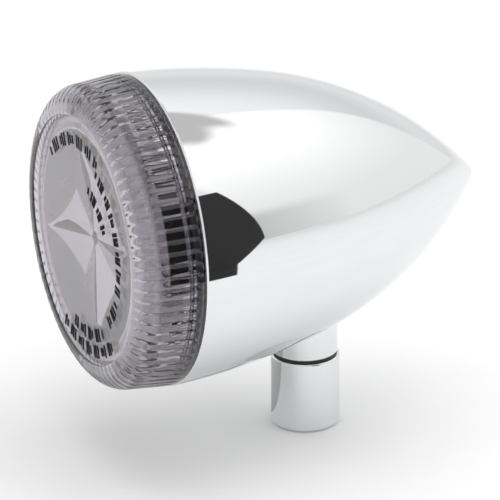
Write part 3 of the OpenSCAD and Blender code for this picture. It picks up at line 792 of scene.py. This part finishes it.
def make_stem(sizes, colours):
    """The turned stem: a chamfered sleeve, the swivel spigot, the tapped hole and the lead passage."""
    chrome = chrome_on_turning(colours.chrome)
    chamfer = 0.5 * MM
    break_r = 0.1 * MM
    round_r = 0.25 * MM
    tapped = 3.4 * MM
    depth = 10 * MM
    passage = 2 * MM
    spigot = 4 * MM
    shoulder_z = STEM_H - 0.03 * MM
    ring_low, ring_high = (corner.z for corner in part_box("retaining_ring"))
    ring_r = spigot - 0.5 * MM
    seal_z = (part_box("swivel_seal")[0].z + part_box("swivel_seal")[1].z) / 2
    seal_low, seal_high = seal_z - 0.6 * MM, seal_z + 0.6 * MM
    seal_r = 3.02 * MM
    top = STEM_HIGH.z
    lead_in = 0.3 * MM
    pitch = 1.25 * MM
    crest = 0.5 * MM
    thread = []
    for i in range(int(depth / pitch)):
        z = i * pitch + 0.4 * MM
        thread += [(tapped, z), (tapped + crest, z + 0.5 * pitch), (tapped, z + 0.9 * pitch)]
    outline = (
        [(tapped + 0.4 * MM, 0)]
        + arc((STEM_R - chamfer - break_r, break_r), break_r, -90, -45, 2)
        + arc((STEM_R - round_r, chamfer + break_r), round_r, -40, 0, 4)
        + line((STEM_R, chamfer + 0.3 * MM), (STEM_R, STEM_H - round_r), 4)
        + arc((STEM_R - round_r, shoulder_z - round_r), round_r, 0, 90, 6)
        + [(spigot, shoulder_z), (spigot, seal_low), (seal_r, seal_low), (seal_r, seal_high)]
        + [(spigot, seal_high), (spigot, ring_low), (ring_r, ring_low)]
        + [(ring_r, ring_high), (spigot, ring_high), (spigot, top - lead_in)]
        + [(spigot - lead_in, top), (passage, top), (passage, depth + 0.6 * MM), (tapped - 0.2 * MM, depth)]
        + list(reversed(thread))
    )
    bm = lathe(outline, 128, STEM_AXIS, closed=True)
    settle(bm, 30)
    piece(bm, "stem_sleeve", [chrome], "base", "chrome_stem", "stem_base")


def finish_node(name, material):
    """Gives a carried-over CAD node its material."""
    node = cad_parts[name]
    node.data.materials.clear()
    node.data.materials.append(material)


def make_seals(colours):
    """Seals, grommet and swivel washer."""
    rubber = moulded_rubber(colours.rubber)
    for name in ("lens_seal", "swivel_seal", "lead_grommet"):
        finish_node(name, rubber)
    finish_node("swivel_washer", moulded_plastic("moulded_black_nylon", "0B0B0C", "1A1A1B", 0.2, 0.5))


def make_hardware():
    """Washers, spring, retaining ring, screws, spacers, pins and terminals."""
    steel = worked_metal("blanked_spring_steel", "6E6E70", "9A9A9C", (1, 0.1, 1), 0.4, 0.35)
    zinc = worked_metal("zinc_plated_steel", "A9ABAE", "D2D4D6", (1, 1, 1), 1.2, 0.3)
    brass = worked_metal("turned_brass", "B08A3E", "D9BC72", (1, 0.05, 1), 0.3, 0.28)
    for name in ("thrust_washer", "disc_spring", "retaining_ring"):
        finish_node(name, steel)
    for name in ("sink_screws", "driver_screws"):
        finish_node(name, zinc)
    for name in ("board_spacers", "board_pins", "lead_terminals"):
        finish_node(name, brass)


def make_boards():
    """Light board, driver board, their parts, the heat sink and its pad."""
    chip = moulded_plastic("moulded_epoxy_package", "131314", "242425", 0.15, 0.55)
    finishes = {
        "led_board": solder_mask("white_solder_mask", "E9EAEA", "F7F7F5", 3.2),
        "driver_board": solder_mask("green_solder_mask", "0F4A2C", "2C7A4C", 2.4),
        "led_package": moulded_plastic("fired_alumina_ceramic", "E6E2D8", "F2EFE8", 0.1, 0.4),
        "led_dome": clear_silicone("cast_amber_silicone", "FFE2A8", 0.03),
        "led_resistors": chip,
        "driver_chip": chip,
        "driver_resistors": chip,
        "polarity_diode": chip,
        "thermal_pad": moulded_plastic("silicone_thermal_pad", "7D858C", "9AA3AA", 0.3, 0.75),
        "heat_sink": turned_face("face_turned_aluminium", "B4B7BA", "DADCDE", 0.25),
        "insulating_disc": moulded_plastic("polyimide_film", "A8701C", "C88C2E", 0.5, 0.3),
        "inductor": moulded_plastic("pressed_ferrite", "2A2A2C", "47474A", 0.25, 0.65),
        "capacitors": worked_metal("drawn_aluminium_can", "A2A8B0", "C4C9CF", (1, 0.05, 1), 0.3, 0.25),
    }
    for name, material in finishes.items():
        finish_node(name, material)


# Studio


def direction_mask(tree, value, low, high, soft):
    """1 where value lies between low and high, with soft edges."""
    edges = []
    for middle, start in ((low, 0.0), (high, 1.0)):
        span = {"From Min": middle - soft, "From Max": middle + soft, "To Min": start, "To Max": 1 - start}
        edges.append(put(tree, RANGE, {"Value": value, **span}, interpolation_type="SMOOTHSTEP"))
    return put(tree, MATH, {0: edges[0], 1: edges[1]}, operation="MULTIPLY")


def grey(value, warmth=0.0):
    """A light level of the tent, a little warm or cool."""
    return (value * (1 + warmth), value, value * (1 - warmth), 1.0)


def make_world():
    """A light tent: a bright wall behind the object, a duller cool one to its left, and a grey top."""
    world = bpy.data.worlds.new("light_tent")
    bpy.context.scene.world = world
    world.use_nodes = True
    tree = world.node_tree
    tree.nodes.clear()
    at = put(tree, "ShaderNodeTexCoord").outputs["Generated"]
    # Turned so that the middle of the bright wall lies at azimuth 0.
    turned = put(tree, MAPPING, {"Vector": at, "Rotation": (0, 0, math.radians(16))})
    axes = put(tree, "ShaderNodeSeparateXYZ", {"Vector": turned}).outputs
    around = put(tree, MATH, {0: axes["X"], 1: axes["Y"]}, operation="ARCTAN2")
    up = put(tree, MATH, {0: axes["Z"]}, operation="ARCSINE")
    turn = put(tree, MATH, {0: around}, operation="DEGREES")
    rise = put(tree, MATH, {0: up}, operation="DEGREES")
    height = put(tree, RANGE, {"Value": rise, "From Min": 0.0, "From Max": 90.0})
    # Light levels of each wall, by the angle above the floor in degrees.
    levels = {
        "front": ((0, 0.8), (20, 0.85), (45, 1.0), (80, 0.8)),
        "left": ((0, 0.84), (9, 0.88), (22, 0.78), (32, 0.85), (45, 1.03), (58, 1.13)),
        "back": ((0, 0.95), (15, 0.97), (20, 1.0), (30, 1.08), (40, 1.18), (50, 1.3)),
    }
    warmth = {"front": 0.0, "left": -0.012, "back": 0.006}
    tints = {}
    for name, stops in levels.items():
        shades = [(angle / 90, grey(value, warmth[name])) for angle, value in stops]
        tints[name] = put(tree, RAMP, {"Fac": height}, shades)
    layers = [
        (tints["left"], direction_mask(tree, turn, -107, -44, 2)),
        (tints["back"], direction_mask(tree, turn, -44, 38, 1.5)),
    ]
    # Patches: the turn and rise that each spans, the softness of its edges, and its light level.
    patches = (
        ((30, 75), (-90, 17), (16, 4), grey(0.6)),
        ((-180, -1), (60, 95), (8, 1.5), grey(0.62, 0.01)),
        ((-75, -26), (56, 95), (7, 1.5), grey(0.62, 0.01)),
    )
    for turns, rises, (soft_turn, soft_rise), light in patches:
        across = direction_mask(tree, turn, *turns, soft_turn)
        upwards = direction_mask(tree, rise, *rises, soft_rise)
        layers.append((light, put(tree, MATH, {0: across, 1: upwards}, operation="MULTIPLY")))
    colour = tints["front"]
    for light, mask in layers:
        mix = put(tree, "ShaderNodeMix", {"Factor": mask, "A": colour, "B": light}, data_type="RGBA")
        colour = mix.outputs["Result"]
    back = put(tree, "ShaderNodeBackground", {"Color": colour, "Strength": 1.0})
    put(tree, "ShaderNodeOutputWorld", {"Surface": back})


def card(name, corners, colour):
    """A flat studio card, given by its corners in millimetres, that shows only in reflections."""
    material, tree, surface, _ = new_material(name + "_board")
    feed(tree, surface, {"Base Color": linear(colour), "Roughness": 0.9})
    bm = bmesh.new()
    for corner in corners:
        bm.verts.new(corner)
    bmesh.ops.contextual_create(bm, geom=bm.verts)
    bmesh.ops.scale(bm, verts=bm.verts, vec=(MM, MM, MM))
    made = new_object(bm, name, material)
    made.visible_camera = False
    made.visible_diffuse = False
    made.visible_shadow = False


def make_stage(colours):
    """Pale floor, soft light, cards for the reflections, and the camera."""
    bm = bmesh.new()
    bmesh.ops.create_circle(bm, segments=96, radius=4.0, cap_ends=True)
    new_object(bm, "floor", studio_paper(colours.floor))
    make_world()
    flag = ((186.5, 99, 50), (186.5, 99, 205), (224, -2, 205), (224, -2, 0.2), (194, 79, 0.2))
    card("black_flag", flag, "2A2B29")
    card("black_foot", ((125, 38, 0.4), (194, 79, 0.4), (224, -2, 0.4), (130, -10, 0.4)), "1C1D1C")
    # A grey sheet on the floor beside the stem, seen only in reflections: painted shade standing in for the
    # floor's shade near the stem.
    card("floor_shade_card", ((-50, -46, 0.4), (-8, -46, 0.4), (-4.8, -5, 0.4), (-50, -8, 0.4)), "C4C6C4")
    light = bpy.data.lights.new("overhead", "AREA")
    light.shape = "DISK"
    light.size = 0.9
    light.energy = 2.4
    lamp = bpy.data.objects.new("overhead", light)
    lamp.location = (0, 0, 0.9)
    lamp.visible_glossy = False
    bpy.context.scene.collection.objects.link(lamp)
    make_camera()
    bpy.context.scene.view_settings.view_transform = "Standard"


def make_camera():
    """A long lens, level with the side of the lens cap and a little above it."""
    azimuth, elevation, roll = (math.radians(a) for a in (66.37, 23.14, -0.51))
    distance = 1458 * MM
    back = Vector(
        (
            math.sin(azimuth) * math.cos(elevation),
            -math.cos(azimuth) * math.cos(elevation),
            math.sin(elevation),
        )
    )
    level = Vector((math.cos(azimuth), math.sin(azimuth), 0))
    upright = back.cross(level)
    right = level * math.cos(roll) + upright * math.sin(roll)
    up = upright * math.cos(roll) - level * math.sin(roll)
    aim = Vector((0, 0, 36 * MM)) + right * (-9.333 * MM) + up * (-3.663 * MM)
    data = bpy.data.cameras.new("camera")
    data.sensor_width = 36
    data.lens = 609.5
    data.clip_start = 0.1
    data.clip_end = 20
    camera = bpy.data.objects.new("camera", data)
    axes = Matrix((right, up, back)).transposed().to_4x4()
    camera.matrix_world = Matrix.Translation(aim + back * distance) @ axes
    bpy.context.scene.collection.objects.link(camera)
    bpy.context.scene.camera = camera


# Operators and panel


class SIGNAL_OT_housing(bpy.types.Operator):
    """Make the chrome bullet housing with its collar and stub"""

    bl_idname = "signal.housing"
    bl_label = "Housing"

    def execute(self, context):
        make_housing(context.scene.signal_sizes, context.scene.signal_colours)
        return {"FINISHED"}


class SIGNAL_OT_stem(bpy.types.Operator):
    """Make the turned chrome stem"""

    bl_idname = "signal.stem"
    bl_label = "Stem"

    def execute(self, context):
        make_stem(context.scene.signal_sizes, context.scene.signal_colours)
        return {"FINISHED"}


class SIGNAL_OT_lens(bpy.types.Operator):
    """Make the smoked lens cap with its flutes"""

    bl_idname = "signal.lens"
    bl_label = "Lens"

    def execute(self, context):
        make_lens(context.scene.signal_sizes, context.scene.signal_colours)
        return {"FINISHED"}


class SIGNAL_OT_marks(bpy.types.Operator):
    """Print the plain index marks on the lens face"""

    bl_idname = "signal.marks"
    bl_label = "Index marks"

    def execute(self, context):
        make_marks(context.scene.signal_colours)
        return {"FINISHED"}


class SIGNAL_OT_reflector(bpy.types.Operator):
    """Make the reflector bowl and its star"""

    bl_idname = "signal.reflector"
    bl_label = "Reflector"

    def execute(self, context):
        make_reflector(context.scene.signal_sizes, context.scene.signal_colours)
        return {"FINISHED"}


class SIGNAL_OT_seals(bpy.types.Operator):
    """Finish the seals, the grommet and the swivel washer"""

    bl_idname = "signal.seals"
    bl_label = "Seals"

    def execute(self, context):
        make_seals(context.scene.signal_colours)
        return {"FINISHED"}


class SIGNAL_OT_hardware(bpy.types.Operator):
    """Finish the washers, spring, ring, screws, spacers and pins"""

    bl_idname = "signal.hardware"
    bl_label = "Hardware"

    def execute(self, context):
        make_hardware()
        return {"FINISHED"}


class SIGNAL_OT_boards(bpy.types.Operator):
    """Finish the circuit boards, their parts and the heat sink"""

    bl_idname = "signal.boards"
    bl_label = "Boards"

    def execute(self, context):
        make_boards()
        return {"FINISHED"}


class SIGNAL_OT_stage(bpy.types.Operator):
    """Set up the floor, the light and the camera"""

    bl_idname = "signal.stage"
    bl_label = "Stage"

    def execute(self, context):
        make_stage(context.scene.signal_colours)
        return {"FINISHED"}


OPERATORS = (
    SIGNAL_OT_housing,
    SIGNAL_OT_stem,
    SIGNAL_OT_lens,
    SIGNAL_OT_marks,
    SIGNAL_OT_reflector,
    SIGNAL_OT_seals,
    SIGNAL_OT_hardware,
    SIGNAL_OT_boards,
    SIGNAL_OT_stage,
)


class SIGNAL_PT_panel(bpy.types.Panel):
    """Lists the pieces of the turn signal, with its sizes and colours"""

    bl_idname = "SIGNAL_PT_panel"
    bl_label = "Turn signal"
    bl_space_type = "VIEW_3D"
    bl_region_type = "UI"
    bl_category = "Turn signal"

    def draw(self, context):
        for operator in OPERATORS:
            self.layout.operator(operator.bl_idname)
        for group in (context.scene.signal_sizes, context.scene.signal_colours):
            for name in group.__annotations__:
                self.layout.prop(group, name)


CLASSES = (SignalSizes, SignalColours, *OPERATORS, SIGNAL_PT_panel)


def register():
    """Registers the classes and hangs the sizes and colours on the scene."""
    for made in CLASSES:
        bpy.utils.register_class(made)
    bpy.types.Scene.signal_sizes = bpy.props.PointerProperty(type=SignalSizes)
    bpy.types.Scene.signal_colours = bpy.props.PointerProperty(type=SignalColours)


def unregister():
    """Takes the sizes, colours and classes away again."""
    del bpy.types.Scene.signal_sizes
    del bpy.types.Scene.signal_colours
    for made in reversed(CLASSES):
        bpy.utils.unregister_class(made)


def main():
    """Builds every piece and the stage."""
    register()
    for operator in OPERATORS:
        getattr(bpy.ops.signal, operator.bl_idname.split(".")[1])()


if __name__ == "__main__":
    main()
